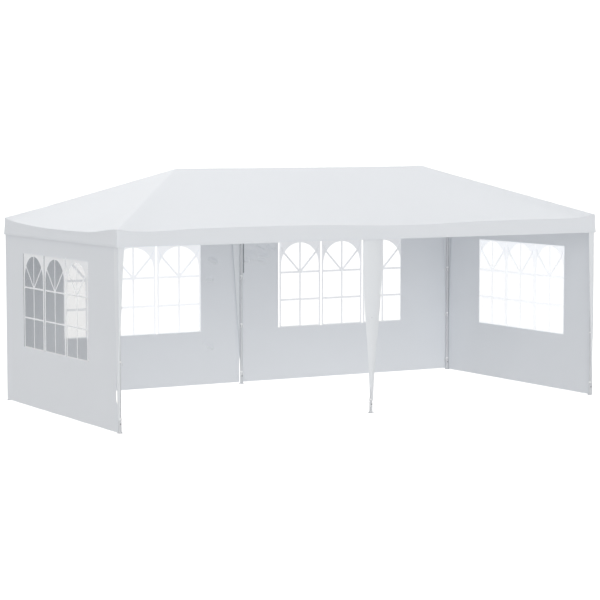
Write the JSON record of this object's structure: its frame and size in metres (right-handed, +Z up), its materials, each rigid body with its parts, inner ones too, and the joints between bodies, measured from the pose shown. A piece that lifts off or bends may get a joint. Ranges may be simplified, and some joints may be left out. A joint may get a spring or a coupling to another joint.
{
  "type": "party marquee tent",
  "caption": "White party marquee tent: steel tube frame, hipped sheet roof with a straight valance, film-windowed walls on both ends and the back, open long front.",
  "frame": {"origin": "centre of the plan at ground level", "axes": "+Z up, X along the long side, -Y towards the open front, +Y towards the walled back"},
  "size_m": [5.9232, 2.9432, 2.578],
  "materials": {
    "cover_sheet": "white coated woven polyethylene roof sheet, slight sheen",
    "wall_sheet": "white coated woven polyethylene wall sheet",
    "leg_cover_sheet": "white coated woven polyethylene leg cover",
    "window_film": "clear soft film with white frames printed on it",
    "tube_steel": "white powder-coated steel tube",
    "joint_steel": "light grey coated steel joint"
  },
  "bodies": {
    "root": {"corner_joint_back_left": "joint_steel", "corner_joint_back_right": "joint_steel", "corner_joint_front_left": "joint_steel", "corner_joint_front_right": "joint_steel", "eave_back_left": "tube_steel", "eave_back_right": "tube_steel", "eave_front_left": "tube_steel", "eave_front_right": "tube_steel", "eave_joint_back_middle": "joint_steel", "eave_joint_front_middle": "joint_steel", "eave_left": "tube_steel", "eave_right": "tube_steel", "hip_rafter_back_left": "tube_steel", "hip_rafter_back_right": "tube_steel", "hip_rafter_front_left": "tube_steel", "hip_rafter_front_right": "tube_steel", "leg_back_left": "tube_steel", "leg_back_middle": "tube_steel", "leg_back_right": "tube_steel", "leg_cover_back_left": "leg_cover_sheet", "leg_cover_back_middle": "leg_cover_sheet", "leg_cover_back_right": "leg_cover_sheet", "leg_cover_front_left": "leg_cover_sheet", "leg_cover_front_middle": "leg_cover_sheet", "leg_cover_front_right": "leg_cover_sheet", "leg_front_left": "tube_steel", "leg_front_middle": "tube_steel", "leg_front_right": "tube_steel", "rafter_back_middle": "tube_steel", "rafter_front_middle": "tube_steel", "ridge_joint_left": "joint_steel", "ridge_joint_middle": "joint_steel", "ridge_joint_right": "joint_steel", "ridge_left": "tube_steel", "ridge_right": "tube_steel", "roof_back": "cover_sheet", "roof_front": "cover_sheet", "roof_left": "cover_sheet", "roof_right": "cover_sheet", "valance_back": "cover_sheet", "valance_front": "cover_sheet", "valance_left": "cover_sheet", "valance_right": "cover_sheet", "wall_back_left": "wall_sheet", "wall_back_right": "wall_sheet", "wall_left": "wall_sheet", "wall_right": "wall_sheet", "window_back_left": "window_film", "window_back_right": "window_film", "window_left": "window_film", "window_right": "window_film"}
  },
  "joints": []
}
